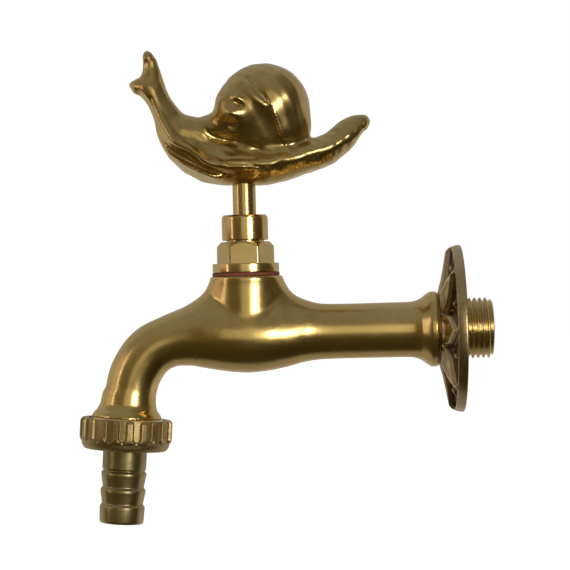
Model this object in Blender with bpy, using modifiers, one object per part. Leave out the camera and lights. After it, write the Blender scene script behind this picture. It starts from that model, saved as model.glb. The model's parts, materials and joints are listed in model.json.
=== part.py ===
"""Decorative brass hose bib: rising-spindle garden tap with a snail handle.

+Z is up.  The inlet axis is the X axis, +X points into the wall, and the
origin is where that axis meets the wall.  The spout reaches out along -X.
Sizes are written in millimetres, and the meshes are made in metres.
"""
import math

import bmesh
import bpy
from mathutils import Euler, Vector

MM = 0.001                          # all sizes below are in millimetres
FIT = 0.3                           # gap kept between pieces that touch
ROUND = 36                          # sides of a full-size turned piece
FINE = 24                           # sides of a small hidden piece

# Inlet: 1/2 inch pipe thread, 14 threads per inch
INLET_THREAD_R = 10.48
INLET_ROOT_R = 9.32
THREAD_PITCH = 1.814
INLET_END_X = 10.5                  # how far the thread stands past the wall
THREAD_START_X = -2.6
COLLAR_FACE_X = -8.3
COLLAR_R = 13.0
INLET_BORE_R = 6.6
TUBE_R = 9.55

# Valve: its axis is vertical
VALVE_X = -74.2
BOSS_TOP_Z = 19.8
BOSS_R = 11.75
CHAMBER_R = 9.9
CHAMBER_FLOOR_Z = -1.0
SEAT_TOP_Z = 0.2
SEAT_R = 6.0
SEAT_HOLE_R = 4.25

# Headwork, stacked up from the boss
SHANK_END_Z = 12.6                  # clear of the jumper at its highest
GASKET_TOP_Z = 21.1
BONNET_COLLAR_TOP_Z = 24.4
HEX_TOP_Z = 31.9
HEX_ACROSS_FLATS = 17.4
GLAND_TOP_Z = 41.0
GLAND_R = 8.0
NECK_R = 6.5
PACKING_BORE_R = 5.8
PACKING_R = 5.5
STEM_R = 4.0
STEM_HOLE_R = 4.35
SPINDLE_THREAD_R = 6.0
SPINDLE_END_Z = 6.3

# Outlet: 3/4 inch union, its axis leans a little away from the wall
OUTLET_X = -116.1
OUTLET_Z = -21.6
OUTLET_ANGLE = 85.7
OUTLET_LEAN = math.radians(90 - OUTLET_ANGLE)
SPOUT_R = 9.0
SPOUT_THREAD_R = 13.0
SPOUT_END = -11.0                   # along the outlet axis
NUT_R = 16.0
NUT_TOP = -6.9
NUT_BOTTOM = -17.6
NUT_FLUTES = 20
TAIL_R = 7.6
TAIL_BORE_R = 5.0
TAIL_END = -43.2
TAIL_FLANGE_R = 12.0

# Wall flange
FLANGE_R = 28.9
FLANGE_PETALS = 8

# Handle: foot underside and socket
FOOT_Z = 50.9
SOCKET_TOP_Z = 62.5
SQUARE_SIDE = 5.6
SCREW_Z = 58.2

BRASS = (0.42, 0.27, 0.07)
BRIGHT_BRASS = (0.62, 0.43, 0.14)
ANTIQUE_BRASS = (0.16, 0.12, 0.07)
FIBRE_RED = (0.33, 0.07, 0.03)
RUBBER_BLACK = (0.02, 0.02, 0.02)
GRAPHITE = (0.05, 0.05, 0.055)
STEEL = (0.5, 0.5, 0.5)


def clear_scene():
    for obj in list(bpy.data.objects):
        bpy.data.objects.remove(obj, do_unlink=True)


def collection(name, hidden=False):
    found = bpy.data.collections.new(name)
    bpy.context.scene.collection.children.link(found)
    found.hide_render = hidden
    return found


def material(name, colour, roughness, metallic):
    mat = bpy.data.materials.new(name)
    mat.use_nodes = True
    bsdf = mat.node_tree.nodes["Principled BSDF"]
    bsdf.inputs["Base Color"].default_value = (*colour, 1.0)
    bsdf.inputs["Roughness"].default_value = roughness
    bsdf.inputs["Metallic"].default_value = metallic
    return mat


def mesh_object(name, bm, place=None):
    """Turn a bmesh into an object of the part, or of the cutters if unplaced."""
    bmesh.ops.recalc_face_normals(bm, faces=bm.faces)
    bmesh.ops.scale(bm, verts=bm.verts, vec=(MM, MM, MM))
    mesh = bpy.data.meshes.new(name)
    bm.to_mesh(mesh)
    bm.free()
    obj = bpy.data.objects.new(name, mesh)
    (place or CUTTERS).objects.link(obj)
    if place is None:
        obj.hide_render = True
        obj.display_type = 'WIRE'
    return obj


def finish(obj, mat, angle=35.0):
    obj.data.materials.append(mat)
    obj.data.shade_smooth()
    obj.data.set_sharp_from_angle(angle=math.radians(angle))
    return obj


def turned(name, profile, place=None, steps=ROUND, closed=True):
    """Screw a profile of (radius, height) points, running down its outer side."""
    bm = bmesh.new()
    verts = [bm.verts.new((r * MM, 0.0, z * MM)) for r, z in profile]
    pairs = list(zip(verts, verts[1:]))
    if closed:
        pairs.append((verts[-1], verts[0]))
    for a, b in pairs:
        bm.edges.new((a, b))
    mesh = bpy.data.meshes.new(name)
    bm.to_mesh(mesh)
    bm.free()
    obj = bpy.data.objects.new(name, mesh)
    (place or CUTTERS).objects.link(obj)
    if place is None:
        obj.hide_render = True
        obj.display_type = 'WIRE'
    screw = obj.modifiers.new("turn", 'SCREW')
    screw.axis = 'Z'
    screw.steps = steps
    screw.render_steps = steps
    screw.use_smooth_shade = False
    screw.use_merge_vertices = True
    screw.merge_threshold = 0.00001
    return obj


def solid_profile(points):
    """Close a profile on the axis, from its top to its bottom."""
    return [(0.0, points[0][1]), *points, (0.0, points[-1][1])]


def solid_turned(name, points, place=None, steps=ROUND):
    return turned(name, solid_profile(points), place, steps, closed=False)


def ring_profile(outer, inner, top, bottom, bevel=0.0):
    """A square-section ring with its outer edges bevelled."""
    return [(inner, top), (outer - bevel, top), (outer, top - bevel),
            (outer, bottom + bevel), (outer - bevel, bottom), (inner, bottom)] if bevel else \
           [(inner, top), (outer, top), (outer, bottom), (inner, bottom)]


def cylinder(name, radius, start, end, place=None, sides=FINE):
    """A cylinder between two points."""
    axis = Vector(end) - Vector(start)
    bm = bmesh.new()
    bmesh.ops.create_cone(bm, cap_ends=True, segments=sides, radius1=radius,
                          radius2=radius, depth=axis.length)
    obj = mesh_object(name, bm, place)
    obj.rotation_euler = axis.to_track_quat('Z', 'Y').to_euler()
    obj.location = (Vector(start) + Vector(end)) / 2 * MM
    return obj


def prism(name, across_flats, sides, bottom, top, turn, place=None):
    bm = bmesh.new()
    radius = across_flats / 2 / math.cos(math.pi / sides)
    bmesh.ops.create_cone(bm, cap_ends=True, segments=sides, radius1=radius,
                          radius2=radius, depth=top - bottom)
    bmesh.ops.rotate(bm, verts=bm.verts, matrix=Euler((0, 0, turn)).to_matrix())
    bmesh.ops.translate(bm, verts=bm.verts, vec=(0, 0, (top + bottom) / 2))
    return mesh_object(name, bm, place)


def ellipsoid(name, centre, radii, tilt=0.0, segments=24, rings=14):
    bm = bmesh.new()
    bmesh.ops.create_uvsphere(bm, u_segments=segments, v_segments=rings, radius=1.0)
    bmesh.ops.scale(bm, verts=bm.verts, vec=radii)
    bmesh.ops.rotate(bm, verts=bm.verts, matrix=Euler((0, tilt, 0)).to_matrix())
    bmesh.ops.translate(bm, verts=bm.verts, vec=centre)
    return mesh_object(name, bm)


def smooth_value(a, b, c, d, t):
    """Catmull-Rom value between b and c."""
    return 0.5 * (2 * b + (c - a) * t + (2 * a - 5 * b + 4 * c - d) * t * t
                  + (3 * b - a - 3 * c + d) * t ** 3)


def refine(stations, between):
    """Smooth extra stations between the given ones."""
    fine = []
    last = len(stations) - 1
    for i in range(last):
        four = [stations[max(0, min(last, i + j))] for j in (-1, 0, 1, 2)]
        for step in range(between):
            t = step / between
            fine.append([smooth_value(*values, t) for values in zip(*four)])
    fine.append(list(stations[-1]))
    return fine


def loft(name, stations, sides, place=None):
    """Loft oval sections that stand across a path in the XZ plane.

    A station is (x, z, lean, half height, half width), and lean, in degrees,
    turns the section's upright about Y, towards -X.
    """
    bm = bmesh.new()
    rings = []
    for x, z, lean, half_height, half_width in stations:
        up = Vector((-math.sin(math.radians(lean)), 0, math.cos(math.radians(lean))))
        centre = Vector((x, 0, z))
        ring = []
        for i in range(sides):
            angle = 2 * math.pi * i / sides
            across = Vector((0, math.sin(angle) * half_width, 0))
            ring.append(bm.verts.new((centre + up * math.cos(angle) * half_height + across)))
        rings.append(ring)
    for low, high in zip(rings, rings[1:]):
        for i in range(sides):
            j = (i + 1) % sides
            bm.faces.new((low[i], low[j], high[j], high[i]))
    bm.faces.new(rings[0])
    bm.faces.new(rings[-1])
    return mesh_object(name, bm, place)


def boolean(obj, operation, *others):
    for other in others:
        mod = obj.modifiers.new(other.name, 'BOOLEAN')
        mod.operation = operation
        mod.object = other
        mod.solver = 'EXACT'


def lay_along_x(obj):
    """Turn a piece's own +Z to +X."""
    obj.rotation_euler = (0, math.pi / 2, 0)
    return obj


def at_valve(obj):
    obj.location = (VALVE_X * MM, 0, 0)
    return obj


def at_outlet(obj):
    """Put a piece's own Z on the outlet axis, 0 at the spout's throat."""
    obj.location = (OUTLET_X * MM, 0, OUTLET_Z * MM)
    obj.rotation_euler = (0, OUTLET_LEAN, 0)
    return obj


def threaded_rod(name, crest_r, root_r, start, end, sides=32):
    """A helical thread about Z, with a fan of faces closing each end."""
    profile = ((root_r, 0.0), (crest_r, 0.42), (crest_r, 0.58))
    turns = int((end - start) / THREAD_PITCH) + 1
    bm = bmesh.new()

    def point(i, j):
        radius, share = profile[j]
        angle = 2 * math.pi * i / sides
        height = start + THREAD_PITCH * (i / sides + share)
        return bm.verts.new((radius * math.cos(angle), radius * math.sin(angle), height))

    strands = len(profile)
    grid = [[point(i, j) for j in range(strands)] for i in range(turns * sides)]
    foot = [point(i + turns * sides, 0) for i in range(sides + 1)]
    starts = [column[0] for column in grid] + foot
    for i in range(turns * sides):
        here = grid[i] + [starts[i + sides]]
        if i + 1 < turns * sides:
            there = grid[i + 1] + [starts[i + 1 + sides]]
        else:
            there = None
        if there:
            for j in range(strands):
                bm.faces.new((here[j], here[j + 1], there[j + 1], there[j]))
    last = grid[-1] + [starts[turns * sides - 1 + sides]]
    low_loop = starts[:sides + 1] + list(reversed(grid[0][1:]))
    low = bm.verts.new((0, 0, start))
    first_high = turns * sides - 1
    high_loop = starts[first_high:first_high + sides + 1] + list(reversed(last[1:-1]))
    high = bm.verts.new((0, 0, end + THREAD_PITCH))
    for loop, tip in ((low_loop, low), (high_loop, high)):
        for a, b in zip(loop, loop[1:] + loop[:1]):
            bm.faces.new((a, b, tip))
    bmesh.ops.delete(bm, geom=[v for v in bm.verts if not v.link_faces], context='VERTS')
    return mesh_object(name, bm)


def round_stations(points, start, lean, direction):
    """Round loft stations from (distance, radius) points along a straight axis."""
    return [(start[0] + direction[0] * along, start[1] + direction[1] * along, lean,
             radius, radius) for along, radius in points]


def make_tap_body():
    """The cast body: inlet tail, tube, valve chamber, swan neck and outlet."""
    collar = round_stations([(-COLLAR_FACE_X, COLLAR_R - 0.4), (0.4 - COLLAR_FACE_X, COLLAR_R),
                             (10.9, COLLAR_R), (12.1, COLLAR_R - 1), (14.1, TUBE_R + 0.95),
                             (16.9, TUBE_R + 0.05)], (0, 0), 0, (-1, 0))
    neck = refine([(-18.8, 0, 0, TUBE_R, TUBE_R), (-45.8, 0, 0, TUBE_R, TUBE_R),
                   (-55.8, 0.4, 0, 11.2, 11.0), (-60.8, 0.95, 0, 12.85, 12.3),
                   (-67.8, 1.25, 0, 14.3, 13.4), (-74.8, 1.1, 0, 14.7, 13.7),
                   (-81.8, 0.8, 0, 14.0, 13.3), (-87.8, 0.05, 2, 12.2, 12.0),
                   (-93.4, -0.6, 6, 10.3, 10.6), (-101.1, -2.05, 20, 9.1, 9.6),
                   (-107.6, -5.7, 45, SPOUT_R, 9.2), (-113.1, -12.25, 70, SPOUT_R, 9.1),
                   (OUTLET_X, OUTLET_Z, OUTLET_ANGLE, SPOUT_R, SPOUT_R)], 2)
    down = (-math.sin(OUTLET_LEAN), -math.cos(OUTLET_LEAN))
    outlet = round_stations([(2.2, 9.4), (4.0, 10.3), (5.3, 11.8), (6.4, 12.2),
                             (7.1, SPOUT_THREAD_R), (-SPOUT_END - 0.8, SPOUT_THREAD_R),
                             (-SPOUT_END, SPOUT_THREAD_R - 0.8)],
                            (OUTLET_X, OUTLET_Z), OUTLET_ANGLE, down)
    body = loft("tap_body", collar + neck + outlet, 32, PARTS)

    boss = at_valve(solid_turned("body_boss", [
        (BOSS_R, BOSS_TOP_Z), (BOSS_R + 0.1, 17), (12.3, 9), (12.3, -3)]))
    flare = at_valve(solid_turned("boss_flare", [
        (11.5, 18.6), (13.0, 16.8), (15.2, 14.1), (16.1, 11.2), (13.6, 4.2), (9.7, -3)]))
    flare.scale.y = 0.72
    thread = threaded_rod("inlet_helix", INLET_THREAD_R, INLET_ROOT_R,
                          THREAD_START_X - 2, INLET_END_X + 1, FINE)
    trim = solid_turned("inlet_trim", [
        (INLET_ROOT_R - 0.25, INLET_END_X), (INLET_THREAD_R, INLET_END_X - 1.2),
        (INLET_THREAD_R + 1, INLET_END_X - 1.8),
        (INLET_THREAD_R + 1, THREAD_START_X + 0.5),
        (INLET_ROOT_R - 0.1, THREAD_START_X - 0.8)], steps=FINE)
    tail = lay_along_x(solid_turned("inlet_tail", [
        (INLET_ROOT_R - 0.3, THREAD_START_X + 1),
        (INLET_ROOT_R - 0.3, COLLAR_FACE_X - 1)], steps=FINE))
    boolean(thread, 'INTERSECT', trim)
    lay_along_x(thread)
    lay_along_x(trim)
    boolean(body, 'UNION', boss, flare, tail, thread)

    inlet = cylinder("inlet_bore", INLET_BORE_R, (INLET_END_X + 5, 0, 0), (-60, 0, 0))
    under = loft("under_seat", refine([(-48.9, -1.0, 0, 4.0, 4.0), (-56.9, -2.5, 0, 6.2, 6.0),
                                       (-64.9, -6.4, 20, 4.6, 6.4), (-72.9, -7.3, 0, 3.9, 6.0),
                                       (-79.2, -7.2, 0, 3.4, 4.5)], 2), 16)
    chamber = at_valve(solid_turned("chamber_bore", [
        (CHAMBER_R, BOSS_TOP_Z + 5), (CHAMBER_R, 5.7),
        (CHAMBER_R - 0.8, CHAMBER_FLOOR_Z), (SEAT_R, CHAMBER_FLOOR_Z), (SEAT_R, SEAT_TOP_Z),
        (SEAT_HOLE_R, SEAT_TOP_Z), (SEAT_HOLE_R, -7.0)]))
    waterway = loft("spout_bore", refine([
        (-81.0, 5.0, 0, 4.6, 5.6), (-86.9, 3.6, 4, 5.0, 5.6), (-93.9, 1.6, 14, 5.4, 5.8),
        (-101.5, -2.2, 26, 5.8, 6.0), (-107.5, -6.4, 48, 6.0, 6.0),
        (-112.5, -12.6, 70, 6.0, 6.0), (-115.2, -20.6, 84, 6.0, 6.0)], 2), 20)
    outlet_bore = at_outlet(solid_turned("outlet_bore", [
        (5.9, 1.5), (6.4, -2), (7.6, -6),
        (8.4, SPOUT_END - 4)], steps=FINE))
    boolean(inlet, 'UNION', under)
    boolean(waterway, 'UNION', chamber, outlet_bore)
    boolean(body, 'DIFFERENCE', inlet, waterway)
    finish(body, BRASS_SATIN)


def make_wall_flange():
    """Domed rosette that sits loose on the inlet thread, between collar and wall."""
    hub_face = COLLAR_FACE_X + FIT
    flange = turned("wall_flange", [
        (10.9, -6.2), (10.9, hub_face), (12.9, hub_face), (14.5, -7.5),
        (17.5, -6.5), (21.5, -5.9), (26.7, -5.2), (28.0, -3.9), (FLANGE_R, -2.3),
        (FLANGE_R, 0.0), (26.8, 0.0), (26.0, -2.8), (23.5, -3.8), (18.5, -4.5),
        (14.5, -5.6)][::-1], PARTS, 40)
    lay_along_x(flange)
    bm = bmesh.new()
    for radius, length, width, phase in ((21.0, 3.6, 1.7, 0.0), (24.2, 1.5, 1.2, 0.5)):
        for i in range(FLANGE_PETALS):
            angle = 2 * math.pi * (i + phase + 0.07) / FLANGE_PETALS
            made = bmesh.ops.create_cone(bm, cap_ends=True, segments=10, radius1=1,
                                         radius2=1, depth=12)["verts"]
            bmesh.ops.scale(bm, verts=made, vec=(length, width, 1))
            bmesh.ops.translate(bm, verts=made, vec=(radius, 0, -5))
            bmesh.ops.rotate(bm, verts=made, matrix=Euler((0, 0, angle)).to_matrix())
    piercing = lay_along_x(mesh_object("flange_piercing", bm))
    boolean(flange, 'DIFFERENCE', piercing)
    finish(flange, BRASS_ANTIQUE)


def make_bonnet():
    """Headwork shell: shank into the body, collar, hexagon and packing box."""
    bonnet = at_valve(turned("bonnet", [
        (SPINDLE_THREAD_R + FIT, SHANK_END_Z), (SPINDLE_THREAD_R + FIT, 27),
        (STEM_HOLE_R, 27.6), (STEM_HOLE_R, 32.4), (PACKING_BORE_R, 32.7),
        (PACKING_BORE_R, 37.6), (NECK_R, 37.6), (NECK_R, 26),
        (8.0, BONNET_COLLAR_TOP_Z), (11.1, BONNET_COLLAR_TOP_Z), (11.5, BONNET_COLLAR_TOP_Z - 0.4),
        (11.5, GASKET_TOP_Z + FIT), (9.5, GASKET_TOP_Z + FIT),
        (9.5, SHANK_END_Z)],
        PARTS))
    hexagon = at_valve(prism("bonnet_hex", HEX_ACROSS_FLATS, 6, BONNET_COLLAR_TOP_Z - 0.8,
                             HEX_TOP_Z, math.radians(-3.5)))
    crown = at_valve(solid_turned("hex_crown", [
        (8.75, HEX_TOP_Z + 0.05), (10.2, HEX_TOP_Z - 1.6),
        (10.3, 22.5)]))
    bore = at_valve(solid_turned("hex_bore", [
        (SPINDLE_THREAD_R + 0.35, 40), (SPINDLE_THREAD_R + 0.35, 15)]))
    boolean(hexagon, 'INTERSECT', crown)
    boolean(hexagon, 'DIFFERENCE', bore)
    boolean(bonnet, 'UNION', hexagon)
    finish(bonnet, BRASS_MACHINED)


def make_gland():
    """Gland nut, the follower it presses, and the packing below."""
    nut = at_valve(turned("gland_nut", [
        (NECK_R + FIT, HEX_TOP_Z + FIT), (NECK_R + FIT, 38.6), (STEM_HOLE_R, 38.6),
        (STEM_HOLE_R, GLAND_TOP_Z), (7.0, GLAND_TOP_Z), (7.7, GLAND_TOP_Z - 0.9),
        (GLAND_R, GLAND_TOP_Z - 1.5), (GLAND_R, HEX_TOP_Z + 0.7),
        (GLAND_R - 0.4, HEX_TOP_Z + FIT)], PARTS))
    slots = mesh_object("gland_slots", slot_pair(GLAND_R, 1.1, GLAND_TOP_Z, 1.6))
    at_valve(slots)
    boolean(nut, 'DIFFERENCE', slots)
    finish(nut, BRASS_MACHINED)
    for name, bottom, top, mat in (("gland_follower", 36.4, 38.3, BRASS_MACHINED),
                                   ("packing_ring_upper", 34.85, 36.1, GRAPHITE_BLACK),
                                   ("packing_ring_lower", 33.3, 34.55, GRAPHITE_BLACK)):
        ring = turned(name, ring_profile(PACKING_R, STEM_HOLE_R, top, bottom), PARTS, FINE)
        finish(at_valve(ring), mat)


def slot_pair(radius, width, top, depth):
    """Two boxes that cut a spanner slot across each side of a round nut."""
    bm = bmesh.new()
    for side in (-1, 1):
        made = bmesh.ops.create_cube(bm, size=1.0)["verts"]
        bmesh.ops.scale(bm, verts=made, vec=(3.6, width * 2, depth * 2))
        bmesh.ops.translate(bm, verts=made, vec=(side * radius, 0, top))
    return bm


def make_gasket():
    ring = turned("bonnet_gasket", ring_profile(
        BOSS_R - 0.05, 9.85, GASKET_TOP_Z, BOSS_TOP_Z + FIT, 0.25), PARTS)
    finish(at_valve(ring), FIBRE)


def make_spindle():
    """Threaded foot with a socket for the jumper, plain stem, square end."""
    spindle = at_valve(turned("spindle", [
        (0.0, 14.5), (2.8, 14.0), (2.8, SPINDLE_END_Z),
        (SPINDLE_THREAD_R - 0.6, SPINDLE_END_Z), (SPINDLE_THREAD_R, SPINDLE_END_Z + 0.6),
        (SPINDLE_THREAD_R, 20.3), (STEM_R, 20.9), (STEM_R, 54.0),
        (3.0, 54.6), (0.0, 54.6)][::-1], PARTS, 32, closed=False))
    square = at_valve(prism("spindle_square", SQUARE_SIDE, 4, 53.0, 62.0,
                            math.radians(45)))
    boolean(spindle, 'UNION', square)
    finish(spindle, BRASS_MACHINED)


def make_valve():
    """Jumper with its washer, and the nut that holds the washer on."""
    jumper = at_valve(solid_turned("jumper", [
        (2.1, 13.5), (2.5, 13.0), (2.5, 6.0), (7.2, 6.0),
        (7.2, 3.8), (1.5, 3.8), (1.5, -2.3)], PARTS, FINE))
    finish(jumper, BRASS_MACHINED)
    washer = turned("valve_washer", ring_profile(6.6, 1.8, 3.5,
                                                 SEAT_TOP_Z + FIT, 0.3), PARTS, FINE)
    finish(at_valve(washer), RUBBER)
    nut = at_valve(prism("washer_nut", 5.5, 6, -1.8, 0.2, 0.0, PARTS))
    hole = cylinder("washer_nut_hole", 1.8, (VALVE_X, 0, -4), (VALVE_X, 0, 2))
    boolean(nut, 'DIFFERENCE', hole)
    finish(nut, BRASS_MACHINED)


def make_union():
    """Union nut, hose tail and the washer between the tail and the spout."""
    inner_r = SPOUT_THREAD_R + 0.35
    ledge = NUT_BOTTOM + 2.2
    nut = at_outlet(turned("union_nut", [
        (TAIL_R + 0.4, NUT_BOTTOM), (TAIL_R + 0.4, ledge), (inner_r, ledge),
        (inner_r, NUT_TOP), (15.0, NUT_TOP), (15.9, NUT_TOP - 0.5),
        (NUT_R, NUT_TOP - 1.2), (NUT_R, -13.6), (15.9, -14.2),
        (15.1, -14.6), (14.9, -16.4), (13.9, NUT_BOTTOM)], PARTS, 40))
    bm = bmesh.new()
    for i in range(NUT_FLUTES):
        angle = 2 * math.pi * (i + 0.03) / NUT_FLUTES
        made = bmesh.ops.create_cone(bm, cap_ends=True, segments=10, radius1=1.4,
                                     radius2=1.55, depth=10)["verts"]
        bmesh.ops.translate(bm, verts=made, vec=(NUT_R + 0.3, 0, -9.3))
        bmesh.ops.rotate(bm, verts=made, matrix=Euler((0, 0, angle)).to_matrix())
    flutes = at_outlet(mesh_object("nut_flutes", bm))
    boolean(nut, 'DIFFERENCE', flutes)
    finish(nut, BRASS_CAST)

    flange_bottom = ledge + FIT
    flange_top = flange_bottom + 2.0
    barbs = [(ridge + shift, z) for z in (-25.6, -31.4, -37.2)
             for ridge, shift, z in ((7.1, 0.0, z + 0.25), (7.8, 0.0, z), (7.8, 0.0, z - 0.7))]
    barbs += [(7.6, TAIL_END + 1.2), (7.2, TAIL_END + 0.3), (6.2, TAIL_END)]
    tail = at_outlet(turned("hose_tail", [
        (TAIL_BORE_R, TAIL_END), (TAIL_BORE_R, flange_top), (TAIL_FLANGE_R, flange_top),
        (TAIL_FLANGE_R, flange_bottom), (TAIL_R, flange_bottom), (TAIL_R, -24.0), *barbs],
        PARTS))
    finish(tail, BRASS_SATIN)
    washer = turned("hose_washer", ring_profile(TAIL_FLANGE_R, 6.6, SPOUT_END - FIT,
                                                flange_top + FIT, 0.25), PARTS)
    finish(at_outlet(washer), RUBBER)


def tube_through(name, points, radius):
    """A tapered bead along (x, y, z, share of the radius) points, as a mesh."""
    curve = bpy.data.curves.new(name, 'CURVE')
    curve.dimensions = '3D'
    curve.bevel_depth = radius
    curve.bevel_resolution = 2
    curve.use_fill_caps = True
    spline = curve.splines.new('POLY')
    spline.points.add(len(points) - 1)
    for spot, (x, y, z, share) in zip(spline.points, points):
        spot.co = (x, y, z, 1.0)
        spot.radius = share
    guide = bpy.data.objects.new(name + "_guide", curve)
    CUTTERS.objects.link(guide)
    evaluated = guide.evaluated_get(bpy.context.evaluated_depsgraph_get())
    mesh = bpy.data.meshes.new_from_object(evaluated)
    bpy.data.objects.remove(guide, do_unlink=True)
    bm = bmesh.new()
    bm.from_mesh(mesh)
    bpy.data.meshes.remove(mesh)
    bmesh.ops.remove_doubles(bm, verts=bm.verts, dist=0.01)
    return mesh_object(name, bm)


def make_handle():
    """Cast snail: foot and neck lofted, shell, whorl and feelers joined on."""
    snail = loft("snail_handle", refine([
        (41.9, 73.2, 42, 1.7, 2.4), (37.4, 69.6, 38, 4.6, 5.6), (31.6, 64.6, 28, 5.2, 7.8),
        (25.2, 61.2, 16, 5.6, 9.8), (15.0, 58.7, 8, 6.1, 11.4), (5.0, 57.3, 2, 6.6, 12.0),
        (-5.0, 58.4, -4, 7.3, 12.0), (-13.0, 61.8, -16, 9.4, 11.0), (-20.0, 66.8, -36, 8.8, 9.2),
        (-25.2, 72.4, -54, 6.1, 7.0), (-28.6, 78.8, -62, 4.5, 5.2), (-31.2, 84.0, -54, 4.8, 4.9),
        (-32.8, 87.2, -50, 3.4, 3.6)], 2), 24, PARTS)
    at_valve(snail)
    shell = at_valve(ellipsoid("shell", (7.2, 0, 76.6),
                               (16.0, 13.6, 16.6), segments=28, rings=18))
    whorl = at_valve(ellipsoid("whorl", (-0.6, -4.0, 76.0),
                               (9.6, 9.6, 11.0), math.radians(-20)))
    saddle = at_valve(ellipsoid("saddle", (-16.5, 0, 69.2), (9.5, 6.2, 5.9)))
    upper = at_valve(tube_through("feeler_upper", [
        (-31.4, 0, 86.5, 1.0), (-31.8, 0, 90.5, 0.95), (-32.0, 0, 94.2, 0.75),
        (-32.7, 0, 96.8, 0.55), (-33.2, 0, 98.4, 0.25)], 3.5))
    lower = at_valve(tube_through("feeler_lower", [
        (-32.6, 0, 85.8, 1.0), (-35.2, 0, 85.8, 1.0), (-37.5, 0, 86.1, 0.65),
        (-39.6, 0, 86.5, 0.2)], 4.1))
    boolean(snail, 'UNION', shell, whorl, saddle, upper, lower)

    socket = cylinder("socket_round", STEM_HOLE_R, (VALVE_X, 0, FOOT_Z - 9),
                      (VALVE_X, 0, 55.2))
    square = at_valve(prism("socket_square", SQUARE_SIDE + 0.7, 4, 54.0, SOCKET_TOP_Z,
                            math.radians(45)))
    screw_hole = cylinder("screw_hole", 2.35, (VALVE_X, 2.0, SCREW_Z),
                          (VALVE_X, 20, SCREW_Z))
    boolean(snail, 'DIFFERENCE', socket, square, screw_hole)
    finish(snail, BRASS_SATIN, 50.0)

    screw = cylinder("handle_set_screw", 2.0, (VALVE_X, SQUARE_SIDE / 2 + FIT, SCREW_Z),
                     (VALVE_X, 10.6, SCREW_Z), PARTS)
    key = cylinder("screw_key", 1.15, (VALVE_X, 8.2, SCREW_Z),
                   (VALVE_X, 14, SCREW_Z), sides=6)
    boolean(screw, 'DIFFERENCE', key)
    finish(screw, SCREW_STEEL)


clear_scene()
PARTS = collection("hose_bib")
CUTTERS = collection("cutters", hidden=True)
BRASS_SATIN = material("brass_satin", BRASS, 0.3, 1.0)
BRASS_MACHINED = material("brass_machined", BRIGHT_BRASS, 0.22, 1.0)
BRASS_CAST = material("brass_cast", BRIGHT_BRASS, 0.5, 1.0)
BRASS_ANTIQUE = material("brass_antique", ANTIQUE_BRASS, 0.45, 1.0)
FIBRE = material("fibre", FIBRE_RED, 0.8, 0.0)
RUBBER = material("rubber", RUBBER_BLACK, 0.7, 0.0)
GRAPHITE_BLACK = material("graphite", GRAPHITE, 0.6, 0.0)
SCREW_STEEL = material("screw_steel", STEEL, 0.35, 1.0)

make_tap_body()
make_wall_flange()
make_bonnet()
make_gasket()
make_gland()
make_spindle()
make_valve()
make_union()
make_handle()
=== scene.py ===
"""Looks of the brass hose bib: fine castings, turned pieces, materials, light, camera.

Shapes are worked out in millimetres in the row frame and made in metres.
Castings are level surfaces of a distance field; turned pieces are lathe grids.
"""
import json
import math

import bpy
import numpy as np
from mathutils import Matrix, Vector


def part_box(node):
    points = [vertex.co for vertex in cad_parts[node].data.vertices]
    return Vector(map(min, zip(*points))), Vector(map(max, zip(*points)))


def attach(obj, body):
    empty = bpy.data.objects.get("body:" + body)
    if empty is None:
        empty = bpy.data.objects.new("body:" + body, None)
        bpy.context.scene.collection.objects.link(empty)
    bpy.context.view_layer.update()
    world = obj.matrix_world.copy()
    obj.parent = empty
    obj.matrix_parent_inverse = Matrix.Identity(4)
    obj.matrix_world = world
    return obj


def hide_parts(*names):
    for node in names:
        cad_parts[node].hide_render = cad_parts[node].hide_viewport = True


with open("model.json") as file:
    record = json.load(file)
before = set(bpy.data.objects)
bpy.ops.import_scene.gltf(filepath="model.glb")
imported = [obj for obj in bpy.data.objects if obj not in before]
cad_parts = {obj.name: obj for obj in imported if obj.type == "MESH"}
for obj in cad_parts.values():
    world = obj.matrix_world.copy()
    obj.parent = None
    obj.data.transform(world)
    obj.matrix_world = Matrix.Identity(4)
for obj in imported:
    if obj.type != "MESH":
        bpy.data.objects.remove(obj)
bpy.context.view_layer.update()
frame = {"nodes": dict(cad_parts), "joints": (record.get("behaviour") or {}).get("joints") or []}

MM = 0.001


def joint(name):
    return next(j for j in frame["joints"] if j["name"] == name)


def box_mm(node):
    low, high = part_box(node)
    return [v / MM for v in low], [v / MM for v in high]


# ---------------------------------------------------------------- frame sizes

VALVE_X = joint("handle_turn")["pos_m"][0] / MM
OUTLET_DOWN = Vector(joint("union_nut_turn")["axis"])
OUTLET_LEAN = math.atan2(-OUTLET_DOWN.x, -OUTLET_DOWN.z)
OUTLET_X, OUTLET_Z = -116.1, -21.6           # throat of the spout on the outlet axis
COLLAR_FACE_X, COLLAR_R = -8.3, 13.0
TUBE_R = 9.55
INLET_CREST_R, INLET_ROOT_R, INLET_BORE_R = 10.48, 9.32, 6.6
CHAMBER_R = 9.9                              # bore of the boss
OUTLET_CREST_R, OUTLET_BORE_R, SPOUT_BORE_R = 13.0, 8.0, 6.4
NUT_R, NUT_TOP, NUT_BOTTOM = 15.96, -6.9, -17.6   # heights are along the outlet axis
STEM_R, STEM_TOP_Z = 4.0, 54.6
BOSS_TOP_Z = 19.85
BOSS_R = 11.75
PITCH = 1.814
INLET_END_X = box_mm("tap_body")[1][0]
GASKET_LOW_Z = box_mm("bonnet_gasket")[0][2]
BONNET_TOP_Z = box_mm("bonnet")[1][2]
GLAND_TOP_Z = box_mm("gland_nut")[1][2]
FLANGE_R = box_mm("wall_flange")[1][1]


# ------------------------------------------------------------- distance fields

def smin(a, b, k):
    """Smooth minimum: joins two fields with a fillet of about k."""
    h = np.maximum(k - np.abs(a - b), 0) / k
    return np.minimum(a, b) - h * h * k / 4


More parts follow.
